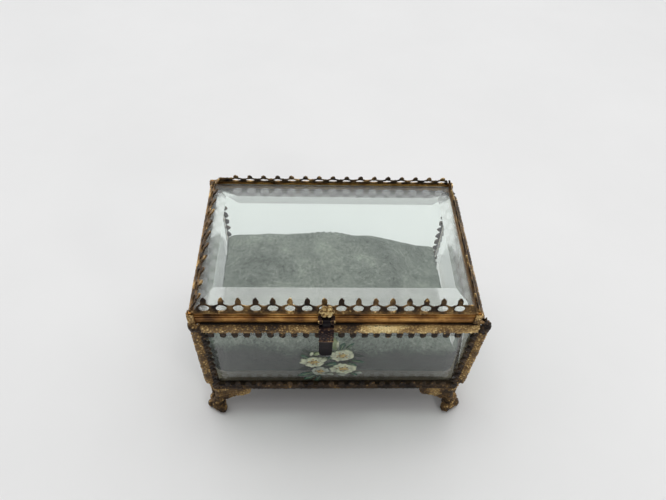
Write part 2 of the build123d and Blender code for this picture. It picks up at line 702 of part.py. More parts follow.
# A domed flower over the root of the clasp.
ROSETTE_RADIUS = 2.6
rosette_plane = wall_plane("front", LID_HALF_Y - 0.05, 69.4, LEAN["front"], shift=CLASP_X)
with BuildPart() as clasp_rosette:
    with BuildSketch(rosette_plane):
        Circle(ROSETTE_RADIUS * 0.8)
        with PolarLocations(ROSETTE_RADIUS * 0.66, 6):
            Circle(ROSETTE_RADIUS * 0.36)
    extrude(amount=0.7)
    with Locations(rosette_plane.offset(0.7)):
        with PolarLocations(ROSETTE_RADIUS * 0.62, 6):
            Sphere(0.72)
        Sphere(0.95)
write(clasp_rosette.part, "clasp_rosette")
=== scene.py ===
from math import cos, exp, hypot, pi, radians, sin, tau

import bmesh
import bpy
import numpy as np
from mathutils import Matrix, Vector, noise


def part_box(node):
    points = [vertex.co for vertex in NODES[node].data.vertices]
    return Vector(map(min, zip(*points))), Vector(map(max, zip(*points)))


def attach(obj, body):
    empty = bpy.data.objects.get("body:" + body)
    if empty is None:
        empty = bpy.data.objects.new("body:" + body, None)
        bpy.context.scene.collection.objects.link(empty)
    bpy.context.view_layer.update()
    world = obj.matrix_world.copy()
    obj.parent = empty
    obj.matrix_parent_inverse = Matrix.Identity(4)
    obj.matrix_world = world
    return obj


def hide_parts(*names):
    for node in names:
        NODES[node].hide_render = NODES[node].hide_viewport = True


# A glass and gilt-brass trinket casket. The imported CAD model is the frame: its glass, lid frame and
# hinges keep their shape, and the stamped strips, feet, galleries, clasp, pad and painted roses are
# finer copies or new pieces that stand for their CAD nodes.

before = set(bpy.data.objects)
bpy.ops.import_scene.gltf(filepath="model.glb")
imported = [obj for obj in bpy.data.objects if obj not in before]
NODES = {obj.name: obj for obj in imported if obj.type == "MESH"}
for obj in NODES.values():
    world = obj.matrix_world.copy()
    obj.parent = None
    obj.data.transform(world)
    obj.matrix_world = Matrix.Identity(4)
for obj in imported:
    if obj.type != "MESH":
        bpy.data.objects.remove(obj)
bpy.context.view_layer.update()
MM = 0.001
SIDES = ("front", "back", "left", "right")
CORNERS = ("front_left", "front_right", "back_left", "back_right")


def link(name, mesh):
    piece = bpy.data.objects.new(name, mesh)
    bpy.context.scene.collection.objects.link(piece)
    return piece


def box_mm(node):
    low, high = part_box(node)
    return low / MM, high / MM


def step(value, low, high):
    """0 below low, 1 above high, smooth between them."""
    t = min(1.0, max(0.0, (value - low) / (high - low)))
    return t * t * (3 - 2 * t)


# ---------------------------------------------------------------- camera
def look_camera(location, yaw, pitch, roll, lens):
    """A camera that looks along +Y, turned right by yaw, down by pitch and about its own axis by roll."""
    data = bpy.data.cameras.new("camera")
    data.lens = lens
    data.sensor_width = 36.0
    data.clip_start = 0.01
    camera = bpy.data.objects.new("camera", data)
    turn = Matrix.Rotation(-yaw, 4, "Z")
    tilt = Matrix.Rotation(radians(90) - pitch, 4, "X")
    spin = Matrix.Rotation(-roll, 4, "Z")
    camera.matrix_world = Matrix.Translation(location) @ turn @ tilt @ spin
    bpy.context.scene.collection.objects.link(camera)
    bpy.context.scene.camera = camera


look_camera(
    location=(-0.01058, -0.13438, 0.22142),
    yaw=radians(3.57),
    pitch=radians(49.77),
    roll=radians(-3.14),
    lens=29.72,
)


# ---------------------------------------------------------------- material helpers
class Material:
    """A Principled material and short ways to add nodes to it. Noise scales are per metre."""

    def __init__(self, name, **values):
        self.data = bpy.data.materials.new(name)
        self.data.use_nodes = True
        self.tree = self.data.node_tree
        self.shader = self.tree.nodes["Principled BSDF"]
        self.output = self.tree.nodes["Material Output"]
        for socket, value in values.items():
            self.shader.inputs[socket.replace("_", " ")].default_value = value
        self.place = self.node("ShaderNodeTexCoord").outputs["Object"]

    def node(self, kind, **settings):
        made = self.tree.nodes.new(kind)
        for key, value in settings.items():
            setattr(made, key, value)
        return made

    def join(self, source, target):
        self.tree.links.new(source, target)

    def noise(self, scale, detail=4.0, stretch=(1, 1, 1), roughness=0.6):
        mapping = self.node("ShaderNodeMapping")
        mapping.inputs["Scale"].default_value = stretch
        self.join(self.place, mapping.inputs["Vector"])
        texture = self.node("ShaderNodeTexNoise")
        texture.inputs["Scale"].default_value = scale
        texture.inputs["Detail"].default_value = detail
        texture.inputs["Roughness"].default_value = roughness
        self.join(mapping.outputs["Vector"], texture.inputs["Vector"])
        return texture.outputs["Fac"]

    def attribute(self, name):
        return self.node("ShaderNodeAttribute", attribute_name=name).outputs["Fac"]

    def sum(self, first, second, share=1.0, offset=0.0):
        """first + second * share + offset, kept in 0 to 1."""
        made = self.node("ShaderNodeMath", operation="MULTIPLY_ADD")
        self.join(second, made.inputs[0])
        made.inputs[1].default_value = share
        self.join(first, made.inputs[2])
        shifted = self.node("ShaderNodeMath", operation="ADD", use_clamp=True)
        self.join(made.outputs[0], shifted.inputs[0])
        shifted.inputs[1].default_value = offset
        return shifted.outputs[0]

    def ramp(self, source, stops):
        """A colour ramp through (position, colour) stops."""
        made = self.node("ShaderNodeValToRGB")
        elements = made.color_ramp.elements
        while len(elements) < len(stops):
            elements.new(0.5)
        for element, (position, colour) in zip(elements, stops):
            element.position = position
            element.color = (*colour, 1)
        self.join(source, made.inputs["Fac"])
        return made.outputs["Color"]

    def spread(self, source, low, high, start=0.0, end=1.0, kind="LINEAR"):
        """source, which runs from start to end, made to run from low to high."""
        made = self.node("ShaderNodeMapRange", interpolation_type=kind)
        for socket, value in (("From Min", start), ("From Max", end), ("To Min", low), ("To Max", high)):
            made.inputs[socket].default_value = value
        self.join(source, made.inputs["Value"])
        return made.outputs["Result"]

    def math(self, operation, first, second):
        made = self.node("ShaderNodeMath", operation=operation)
        self.join(first, made.inputs[0])
        self.join(second, made.inputs[1])
        return made.outputs[0]

    def split(self, source):
        """The X, Y and Z outputs of a vector."""
        made = self.node("ShaderNodeSeparateXYZ")
        self.join(source, made.inputs[0])
        return made.outputs

    def feed(self, socket, source):
        self.join(source, self.shader.inputs[socket])

    def bump(self, *layers):
        """Layers of (height source, strength, distance in mm), stacked on the normal."""
        normal = None
        for source, strength, distance in layers:
            made = self.node("ShaderNodeBump")
            made.inputs["Strength"].default_value = strength
            made.inputs["Distance"].default_value = distance * MM
            self.join(source, made.inputs["Height"])
            if normal is not None:
                self.join(normal, made.inputs["Normal"])
            normal = made.outputs["Normal"]
        self.feed("Normal", normal)


# Tints run from the darkest tarnish at 0 to the brightest rubbed metal at 1.
PATINA = (
    (0.0, (0.022, 0.016, 0.013)),
    (0.2, (0.080, 0.050, 0.027)),
    (0.42, (0.25, 0.150, 0.060)),
    (0.68, (0.62, 0.42, 0.17)),
    (1.0, (0.98, 0.80, 0.42)),
)
ORANGE_GILT = (
    (0.0, (0.020, 0.012, 0.008)),
    (0.3, (0.10, 0.045, 0.014)),
    (0.55, (0.36, 0.17, 0.045)),
    (0.8, (0.66, 0.37, 0.11)),
    (1.0, (0.85, 0.58, 0.24)),
)
DARK_BROWN = (
    (0.0, (0.010, 0.007, 0.007)),
    (0.45, (0.05, 0.028, 0.02)),
    (0.8, (0.20, 0.12, 0.06)),
    (1.0, (0.4, 0.26, 0.12)),
)
CLASP_BROWN = (
    (0.0, (0.008, 0.005, 0.007)),
    (0.35, (0.024, 0.012, 0.013)),
    (0.6, (0.13, 0.070, 0.040)),
    (1.0, (0.62, 0.42, 0.20)),
)


def stamped_metal(name, tint=PATINA, offset=0.0):
    """Relief brass: rubbed high places are gold, and dark patina lies in the hollows."""
    made = Material(name)
    fine = made.noise(1500.0, detail=5.0)
    broad = made.noise(110.0)
    rubbed = made.sum(made.attribute("rubbed"), fine, 0.34, offset - 0.17)
    rubbed = made.sum(rubbed, broad, 0.4, -0.2)
    made.feed("Base Color", made.ramp(rubbed, tint))
    made.feed("Metallic", made.spread(rubbed, 0.72, 1.0))
    made.feed("Roughness", made.spread(rubbed, 0.58, 0.27))
    made.bump((made.noise(3200.0, detail=3.0), 0.35, 0.06))
    return made.data


def plain_metal(name, tint, base, streak, roughness=(0.5, 0.26), share=0.8):
    """Smooth rolled or drawn brass, with streaks, blotches of tarnish and fine scratches.

    base is how worn the dullest streak is, streak the stretch of the streaks, share how far wear varies.
    """
    made = Material(name)
    streaks = made.noise(1.0, detail=5.0, stretch=streak)
    blotches = made.noise(130.0, detail=5.0)
    worn = made.sum(made.spread(streaks, base, base + share * 0.5), blotches, share, -share / 2)
    made.feed("Base Color", made.ramp(worn, tint))
    made.feed("Metallic", made.spread(worn, 0.8, 1.0))
    made.feed("Roughness", made.spread(worn, *roughness))
    made.bump((made.noise(2200.0, detail=4.0), 0.18, 0.05), (streaks, 0.25, 0.06))
    return made.data


stamped_gilt = stamped_metal("stamped_gilt_brass", offset=0.05)
pierced_gilt = stamped_metal("pierced_gilt_brass", offset=-0.06)
cast_gilt = stamped_metal("cast_gilt_brass", offset=-0.02)
clasp_brown = stamped_metal("dark_clasp_brass", tint=CLASP_BROWN)
lid_gilt = plain_metal("lid_gilt_brass", ORANGE_GILT, 0.18, (60, 60, 1100), share=1.45)
dark_brass = plain_metal("dark_brass", DARK_BROWN, 0.15, (300, 300, 300))
pin_brass = plain_metal("pin_brass", PATINA, 0.4, (30, 900, 900))
base_brass = plain_metal("base_sheet_brass", PATINA, -0.1, (60, 900, 60), roughness=(0.6, 0.35))


def glass_material():
    """Clear glass with faint wipe marks and hazy bevels. Lamps and diffuse light pass straight through."""
    made = Material("bevelled_glass", IOR=1.45, Base_Color=(0.94, 0.982, 0.96, 1))
    smears = made.noise(38.0, detail=3.0)
    # A flat face looks straight along one of the piece's own axes, and a bevel does not.
    squareness = made.node("ShaderNodeVectorMath", operation="ABSOLUTE")
    made.join(made.node("ShaderNodeTexCoord").outputs["Normal"], squareness.inputs[0])
    parts = made.split(squareness.outputs["Vector"])
    largest = made.math("MAXIMUM", made.math("MAXIMUM", parts["X"], parts["Y"]), parts["Z"])
    bevelled = made.spread(largest, 0.0, 1.0, 0.999, 0.992)
    # The lid's bevels, which lie level, are hazier than those of the upright panes.
    level = made.spread(parts["Z"], 0.08, 1.0, 0.4, 0.7)
    haze = made.math("MULTIPLY", bevelled, level)
    made.feed("Roughness", made.sum(made.spread(smears, 0.0, 0.03), haze, 0.16))
    made.feed("Transmission Weight", made.spread(haze, 1.0, 0.80))
    made.bump((made.noise(26.0, detail=1.0), 0.1, 0.12))
    clear = made.node("ShaderNodeBsdfTransparent")
    clear.inputs["Color"].default_value = (0.93, 0.96, 0.945, 1)
    path = made.node("ShaderNodeLightPath")
    either = made.math("MAXIMUM", path.outputs["Is Shadow Ray"], path.outputs["Is Diffuse Ray"])
    mix = made.node("ShaderNodeMixShader")
    made.join(either, mix.inputs[0])
    made.join(made.shader.outputs[0], mix.inputs[1])
    made.join(clear.outputs[0], mix.inputs[2])
    made.join(mix.outputs[0], made.output.inputs["Surface"])
    return made.data


VELVET_TONES = (
    (0.0, (0.002, 0.005, 0.003)),
    (0.2, (0.022, 0.036, 0.024)),
    (0.5, (0.146, 0.168, 0.142)),
    (0.8, (0.300, 0.322, 0.272)),
)


def velvet_material():
    """Short grey-green pile, brushed lighter and darker in patches, with painted shade on the pad's walls."""
    made = Material("velvet", Sheen_Weight=0.10, Sheen_Roughness=0.4, Roughness=0.95)
    made.shader.inputs["Sheen Tint"].default_value = (0.72, 0.80, 0.76, 1)
    brushed = made.noise(75.0, detail=4.0)
    pile = made.noise(950.0, detail=4.0, roughness=0.85)
    tone = made.sum(brushed, pile, 1.5, -0.75)
    # Painted shade: a wall of the pad, whose normal lies level, is made much darker than its top.
    upward = made.split(made.node("ShaderNodeNewGeometry").outputs["Normal"])["Z"]
    tone = made.sum(tone, made.spread(upward, -0.72, 0.0, -0.15, 1.0, "SMOOTHSTEP"))
    made.feed("Base Color", made.ramp(tone, VELVET_TONES))
    made.bump((made.noise(420.0, detail=3.0), 0.3, 0.35), (pile, 0.8, 0.25))
    return made.data


def card_material():
    """Rough grey-brown card with short fibres."""
    made = Material("card_board", Roughness=0.9)
    fibres = made.noise(1.0, detail=6.0, stretch=(500, 1800, 900))
    made.feed("Base Color", made.ramp(fibres, ((0.3, (0.20, 0.17, 0.13)), (0.7, (0.36, 0.31, 0.24)))))
    made.bump((fibres, 0.4, 0.08))
    return made.data


def paint_material(name, dark, light, scale=420.0):
    """Enamel paint laid on in strokes, glossy where it is thick."""
    made = Material(name, Coat_Weight=0.25)
    strokes = made.noise(scale, detail=4.0, stretch=(1.0, 1.0, 0.45))
    tone = made.sum(strokes, made.attribute("shade"), 0.9, -0.45)
    made.feed("Base Color", made.ramp(tone, ((0.2, dark), (0.8, light))))
    made.feed("Roughness", made.spread(strokes, 0.28, 0.6))
    made.bump((strokes, 0.5, 0.08))
    return made.data


glass = glass_material()
velvet = velvet_material()
card = card_material()


def finish_node(node, material):
    NODES[node].data.materials.clear()
    NODES[node].data.materials.append(material)


for side in SIDES:
    finish_node(f"glass_{side}", glass)
    finish_node(f"lid_frame_{side}", lid_gilt)
for side in ("left", "right"):
    finish_node(f"hinge_leaf_base_{side}", dark_brass)
    finish_node(f"hinge_leaf_lid_{side}", dark_brass)
    finish_node(f"hinge_pin_{side}", pin_brass)
for node, material in (
    ("lid_glass", glass),
    ("hasp_bracket", dark_brass),
    ("catch_stud", dark_brass),
    ("hasp_pin", pin_brass),
    ("base_plate", base_brass),
    ("pad_board", card),
):
    finish_node(node, material)


# ---------------------------------------------------------------- relief copies of stamped and cast pieces
def apply_modifiers(piece):
    """Leaves the piece with the mesh its modifiers make."""
    graph = bpy.context.evaluated_depsgraph_get()
    mesh = bpy.data.meshes.new_from_object(piece.evaluated_get(graph))
    piece.modifiers.clear()
    piece.data = mesh


EASE_PASSES = 2


def fine_copy(name, node, voxel):
    """A watertight copy of a CAD node in an even mesh of faces one voxel (in mm) wide, with eased edges."""
    mesh = NODES[node].data.copy()
    mesh.materials.clear()
    piece = link(name, mesh)
    remesh = piece.modifiers.new("remesh", "REMESH")
    remesh.mode = "VOXEL"
    remesh.voxel_size = voxel * MM
    remesh.use_smooth_shade = True
    ease = piece.modifiers.new("ease", "SMOOTH")
    ease.factor = 0.5
    ease.iterations = EASE_PASSES
    apply_modifiers(piece)
    return piece


def emboss(piece, pattern):
    """Moves each point along its normal by the pattern's height in mm, and keeps how rubbed it is there."""
    mesh = piece.data
    count = len(mesh.vertices)
    places = np.empty(count * 3)
    normals = np.empty(count * 3)
    mesh.vertices.foreach_get("co", places)
    mesh.vertex_normals.foreach_get("vector", normals)
    places = places.reshape(-1, 3) / MM
    normals = normals.reshape(-1, 3)
    relief = np.array([pattern(*point, *normal) for point, normal in zip(places, normals)])
    places += normals * relief[:, :1]
    mesh.vertices.foreach_set("co", (places * MM).ravel())
    mesh.attributes.new("rubbed", "FLOAT", "POINT").data.foreach_set("value", relief[:, 1].astype(np.float32))
    mesh.shade_smooth()
    mesh.update()


def granules(x, y, z, cell):
    """The height and the brightness, 0 to 1, of domed granules about one cell wide.

    The height is 0 in the seam between two. Most granules are dull, and a few are rubbed to gold.
    """
    distances, centres = noise.voronoi(Vector((x, y, z)) / cell)
    return min(1.0, 1.7 * (distances[1] - distances[0])), noise.cell(centres[0] * 7.3) ** 2


def cloud(x, y, z, size, seed=0.0):
    """Broad noise, about -0.6 to 0.6."""
    return noise.noise(Vector((x + seed, y - seed, z + seed)) / size)


def relief_piece(name, node, body, slot, material, voxel, pattern):
    """A fine copy of a node with its pattern embossed, standing for the node on its body."""
    piece = fine_copy(name, node, voxel)
    emboss(piece, pattern)
    piece.data.materials.append(material)
    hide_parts(node)
    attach(piece, body)


# A pattern takes a point in mm and its normal, and gives the relief's height in mm and how rubbed it is.
TOP_BAND_LOW = 57.0


def facing_out(side, nx, ny):
    """1 on the outer face of a side's strip, 0 on its edges and back."""
    outward = {"front": -ny, "back": ny, "left": -nx, "right": nx}[side]
    return step(outward, 0.0, 0.5)


def top_rim_pattern(side):
    """A granulated band between two smooth edges, and plainer, darker lobes hanging from it."""
    band_high = box_mm(f"top_rim_{side}")[1].z

    def pattern(x, y, z, nx, ny, nz):
        facing = facing_out(side, nx, ny)
        grains, bright = granules(x, y, z, 0.85)
        if z < TOP_BAND_LOW - 0.2:
            return facing * 0.2 * (grains - 0.3), 0.5 * grains * facing * bright - 0.05
        low_edge = step(z, TOP_BAND_LOW, TOP_BAND_LOW + 0.7)
        high_edge = 1 - step(z, band_high - 0.9, band_high - 0.2)
        height = facing * (0.38 * grains * (low_edge * high_edge) - 0.12)
        rubbed = 0.14 + grains * facing * (0.26 + 0.5 * bright) + 0.45 * cloud(x, y, z, 8.0)
        # Painted highlight: the front band is painted bright gold right of the clasp; it is dark around the clasp.
        if side == "front":
            rubbed += 0.26 * step(x, 4.0, 9.0) - 0.16 * (1 - step(abs(x + 2.0), 5.0, 11.0))
        return height, rubbed - 0.25 * (1 - facing)

    return pattern


def bottom_rim_pattern(side):
    """Granulated all over, dark between the granules."""

    def pattern(x, y, z, nx, ny, nz):
        facing = facing_out(side, nx, ny)
        grains, bright = granules(x, y, z, 0.8)
        rubbed = 0.5 * grains * facing * bright + 0.2 * cloud(x, y, z, 6.0, 3.0)
        return facing * 0.3 * (grains - 0.4), rubbed

    return pattern


BEAD_AXIS = Vector((50.05, 32.05))
POST_BEAD_BOTTOM = 20.6


def post_pattern(x, y, z, nx, ny, nz):
    """A granulated bead down the corner, and twisted ribs on the two legs beside it."""
    away = hypot(abs(x) - BEAD_AXIS.x, abs(y) - BEAD_AXIS.y)
    bead = 1 - step(away, 1.75, 2.15)
    if z < POST_BEAD_BOTTOM - 1.5:
        bead = 0.0
    grains, bright = granules(x, y, z, 0.95)
    along = x if abs(ny) > abs(nx) else y
    rib = 0.5 + 0.5 * sin(tau * (z * 0.42 + abs(along) * 0.5))
    knob = step(z, 56.5, 58.0) * step(x, 0.0, 1.0)
    height = bead * (0.55 * grains - 0.18) + (1 - bead) * (0.30 * rib + 0.14 * grains - 0.14)
    gold = 0.28 + grains * (0.34 + 0.5 * bright) + 0.35 * cloud(x, y, z, 5.0, 7.0) - 0.34 * knob
    dark = 0.02 + 0.5 * rib * grains * bright + 0.2 * cloud(x, y, z, 4.0)
    return height, bead * gold + (1 - bead) * dark


PAW = Vector((48.6, 33.5))


def foot_pattern(x, y, z, nx, ny, nz):
    """Granulated gilt wings over a dark leg and paw."""
    away = hypot(abs(x) - PAW.x, abs(y) - PAW.y)
    leg = 1 - step(away, 4.2, 5.4)
    grains, bright = granules(x, y, z, 0.9)
    low_paw = 1 - step(z, 3.4, 5.0)
    leg = max(leg * (1 - step(z, 9.0, 11.5)), low_paw)
    scales = 0.5 + 0.5 * sin(tau * (z * 0.55 + abs(x) * 0.2))
    gold = 0.28 + grains * (0.28 + 0.45 * bright) + 0.3 * cloud(x, y, z, 5.0, 2.0)
    dark = 0.14 + grains * (0.2 + 0.45 * bright) + 0.28 * cloud(x, y, z, 2.6, 5.0) + 0.08 * scales
    height = (1 - leg) * (0.42 * grains - 0.14) + leg * (0.26 * grains + 0.14 * scales - 0.14)
    sole = 1 - step(z, 0.05, 0.5)
    return height * (1 - sole), leg * dark + (1 - leg) * gold


def clip_pattern(x, y, z, nx, ny, nz):
    """Granulated and well rubbed."""
    grains, bright = granules(x, y, z, 0.8)
    return 0.26 * grains - 0.08, 0.26 + grains * (0.3 + 0.5 * bright) + 0.3 * cloud(x, y, z, 4.0, 1.0)


def gallery_pattern(side):
    """Dark, with a rubbed foot, and with gilding left on runs of its teeth."""
    low, high = box_mm(f"gallery_{side}")

    def pattern(x, y, z, nx, ny, nz):
        along = x if side in ("front", "back") else y
        grains, bright = granules(x, y, z, 0.9)
        up = (z - low.z) / (high.z - low.z)
        gilt = step(noise.noise(Vector((along / 5.0, SIDES.index(side) * 9.0, 0.0))), -0.15, 0.3)
        rubbed = 0.22 + 0.6 * grains * gilt * (0.3 + 0.7 * bright) + 0.35 * cloud(x, y, z, 3.0, 4.0)
        rubbed += 0.22 * (1 - step(up, 0.05, 0.2)) + 0.2 * step(up, 0.6, 1.0) * gilt
        return 0.16 * grains - 0.05 + 0.05 * cloud(x, y, z, 1.2), rubbed

    return pattern


def rosette_pattern(x, y, z, nx, ny, nz):
    """Gold on its face, dark behind."""
    grains = granules(x, y, z, 0.5)[0]
    facing = step(-ny, 0.1, 0.8)
    return 0.08 * grains, 0.26 + 0.55 * facing + 0.3 * grains * facing + 0.4 * cloud(x, y, z, 1.6)


HASP_LOW, HASP_HIGH = box_mm("hasp")
HASP_X = (HASP_LOW.x + HASP_HIGH.x) / 2


def hasp_pattern(x, y, z, nx, ny, nz):
    """Reeds down the strap, then a smooth thumb tongue."""
    facing = step(-ny, 0.2, 0.7)
    reeded = step(z, 56.2, 57.2) * (1 - step(z, 63.5, 64.5))
    reed = 0.5 + 0.5 * cos(tau * (x - HASP_X) / 1.25)
    beads = granules(x, y, z, 0.9)[0]
    band = exp(-(((z - 56.6) / 0.5) ** 2)) + exp(-(((z - 63.9) / 0.5) ** 2))
    narrowing = step(abs(nx), 0.6, 0.9) * (1 - step(z, 55.0, 57.0))
    height = facing * (reeded * (0.2 * reed + 0.22 * beads - 0.12) + 0.2 * band) - 0.28 * narrowing
    rubbed = 0.14 + 0.5 * reeded * beads * facing + 0.3 * band * facing + 0.3 * cloud(x, y, z, 2.5)
    # Away from the reeds the clasp is painted darker; on the thumb tongue this is a painted reflection of the dark
    # it faces.
    return height, rubbed - 0.14 * (1 - reeded)


STAMPED = ("stamped_gilt_brass", stamped_gilt)
PIERCED = ("pierced_gilt_brass", pierced_gilt)
CAST = ("cast_gilt_brass", cast_gilt)
CLASP = ("dark_brass", clasp_brown)
for side in SIDES:
    top, bottom, gallery = f"top_rim_{side}", f"bottom_rim_{side}", f"gallery_{side}"
    relief_piece(f"stamped_{top}", top, "base", *STAMPED, voxel=0.26, pattern=top_rim_pattern(side))
    relief_piece(f"stamped_{bottom}", bottom, "base", *STAMPED, voxel=0.26, pattern=bottom_rim_pattern(side))
    relief_piece(f"pierced_{gallery}", gallery, "lid", *PIERCED, voxel=0.19, pattern=gallery_pattern(side))
for corner in CORNERS:
    post, foot, clip = f"corner_post_{corner}", f"foot_{corner}", f"lid_clip_{corner}"
    relief_piece(f"stamped_{post}", post, "base", *STAMPED, voxel=0.24, pattern=post_pattern)
    relief_piece(f"cast_{foot}", foot, "base", *CAST, voxel=0.24, pattern=foot_pattern)
    relief_piece(f"stamped_{clip}", clip, "lid", *STAMPED, voxel=0.16, pattern=clip_pattern)
relief_piece("cast_rosette", "clasp_rosette", "lid", *CAST, voxel=0.14, pattern=rosette_pattern)
relief_piece("reeded_hasp", "hasp", "hasp", *CLASP, voxel=0.16, pattern=hasp_pattern)


# ---------------------------------------------------------------- velvet cushion
CUSHION_LOW, CUSHION_HIGH = box_mm("cushion")
CUSHION_SHRINK = (0.975, 0.955, 0.97, 1)
STUFFING_FRAMES = 20
MOST_SWELLING = 2.2
PAD_SPANS = ((-47.4, 45.4), (-29.3, 29.3))
PAD_LIMITS = ((-47.45, 46.0), (-29.5, 29.4))
PAD_HEIGHT = 43.6


def stuffed_block():
    """The CAD cushion, a little smaller, blown up by cloth pressure but by no more than MOST_SWELLING."""
    middle = (CUSHION_LOW + CUSHION_HIGH) / 2 * MM
    mesh = NODES["cushion"].data.copy()
    mesh.materials.clear()
    shrink = Matrix.Diagonal(CUSHION_SHRINK)
    mesh.transform(Matrix.Translation(middle) @ shrink @ Matrix.Translation(-middle))
    piece = link("velvet_cushion", mesh)
    remesh = piece.modifiers.new("remesh", "REMESH")
    remesh.mode = "VOXEL"
    remesh.voxel_size = 4.0 * MM
    apply_modifiers(piece)
    start = np.array([v.co for v in piece.data.vertices])
    stuffing = piece.modifiers.new("stuffing", "CLOTH")
    stuffing.settings.quality = 6
    stuffing.settings.use_pressure = True
    stuffing.settings.uniform_pressure_force = 4
    stuffing.settings.effector_weights.gravity = 0
    for moment in range(1, STUFFING_FRAMES + 1):
        bpy.context.scene.frame_set(moment)
    apply_modifiers(piece)
    end = np.array([v.co for v in piece.data.vertices])
    shift = end - start
    length = np.linalg.norm(shift, axis=1, keepdims=True)
    end = start + shift * np.minimum(1.0, MOST_SWELLING * MM / np.maximum(length, 1e-9))
    piece.data.vertices.foreach_set("co", end.ravel())
    finer = piece.modifiers.new("finer", "SUBSURF")
    finer.levels = 2
    apply_modifiers(piece)
    return piece


def cushion_top(x, y):
    """Height of the rumpled top in mm: a high middle at the back, slack and sunk at the right."""
    back = step(y, -12.0, 26.0)
    ridge = 3.2 * exp(-((x + 3.0) / 9.5) ** 2) + 0.9 * exp(-((x + 22.0) / 15.0) ** 2)
    slack = 8.2 * step(x, 12.0, 42.0)
    left = 1.2 * step(-x, 32.0, 47.0)
    rolling = 0.9 * cloud(x, y, 0.0, 17.0, 11.0) + 0.45 * cloud(x, y, 0.0, 7.0, 3.0)
    tuft = exp(-(((x + 3.0) / 9.0) ** 2) - ((y - 26.0) / 7.0) ** 2)
    pleats = 0.7 * tuft * sin(tau * (x + 0.25 * (y - 26.0)) / 2.7)
    hollow = -1.4 * exp(-(((x - 4.0) / 13.0) ** 2) - ((y - 13.0) / 7.0) ** 2)
    sag = back * (ridge - slack - left) - (1 - back) * (0.45 * slack + 0.6 * left)
    return PAD_HEIGHT + sag + rolling + pleats + hollow


def shape_cushion(piece):
    """Fits the pad between the panes, creases its sides, and gives its top its rumpled heights."""
    mesh = piece.data
    places = np.array([v.co for v in mesh.vertices]) / MM
    low, high = places.min(0), places.max(0)
    for axis, (start, end) in enumerate(PAD_SPANS):
        share = (places[:, axis] - low[axis]) / (high[axis] - low[axis])
        places[:, axis] = start + share * (end - start)
    floor = CUSHION_LOW.z + 0.05
    for index, (x, y, z) in enumerate(places):
        share = (z - low[2]) / (high[2] - low[2])
        places[index, 2] = floor + share * (cushion_top(x, y) - floor)
        crease = 0.35 * step(share, 0.1, 0.3) * (1 - step(share, 0.8, 0.95))
        wave = crease * cloud(x * 1.5, y * 1.5, z * 0.6, 5.0, 9.0)
        places[index, 0] += wave
        places[index, 1] += wave
    # The seams are stuffed out into the corners.
    for place in places:
        corner = step(abs(place[0]), 35.0, 46.0) * step(abs(place[1]), 19.0, 28.5)
        place[:2] += np.sign(place[:2]) * (2.0 * corner, 1.6 * corner)
    for axis, limits in enumerate(PAD_LIMITS):
        places[:, axis] = np.clip(places[:, axis], *limits)
    mesh.vertices.foreach_set("co", (places * MM).ravel())
    mesh.shade_smooth()
    mesh.update()


cushion = stuffed_block()
shape_cushion(cushion)
cushion.data.materials.append(velvet)
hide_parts("cushion")
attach(cushion, "base")


# ---------------------------------------------------------------- painted roses on the front pane
PANE_LOW, PANE_HIGH = box_mm("glass_front")
BEVEL = 7.5
BEVEL_DEPTH = 1.3
DAB_THICK = 0.09
DAB_RINGS = 4
DAB_POINTS = 18
PAINTS = {
    "cream": paint_material("paint_cream", (0.13, 0.16, 0.09), (0.70, 0.74, 0.54)),
    "grey_cream": paint_material("paint_grey_cream", (0.09, 0.11, 0.085), (0.42, 0.46, 0.38)),
    "ochre": paint_material("paint_ochre", (0.22, 0.13, 0.03), (0.62, 0.46, 0.16), 900.0),
    "umber": paint_material("paint_umber", (0.05, 0.028, 0.010), (0.20, 0.12, 0.04), 900.0),
    "leaf": paint_material("paint_leaf", (0.006, 0.026, 0.018), (0.040, 0.115, 0.070)),
    "bud": paint_material("paint_bud", (0.11, 0.16, 0.06), (0.46, 0.55, 0.30)),
}


def pane_face(z):
    """How far out the front pane's face is at a height, in mm."""
    into_bevel = max(0.0, PANE_LOW.z + BEVEL - z, z - (PANE_HIGH.z - BEVEL))
    return PANE_LOW.y + BEVEL_DEPTH * min(1.0, into_bevel / BEVEL)


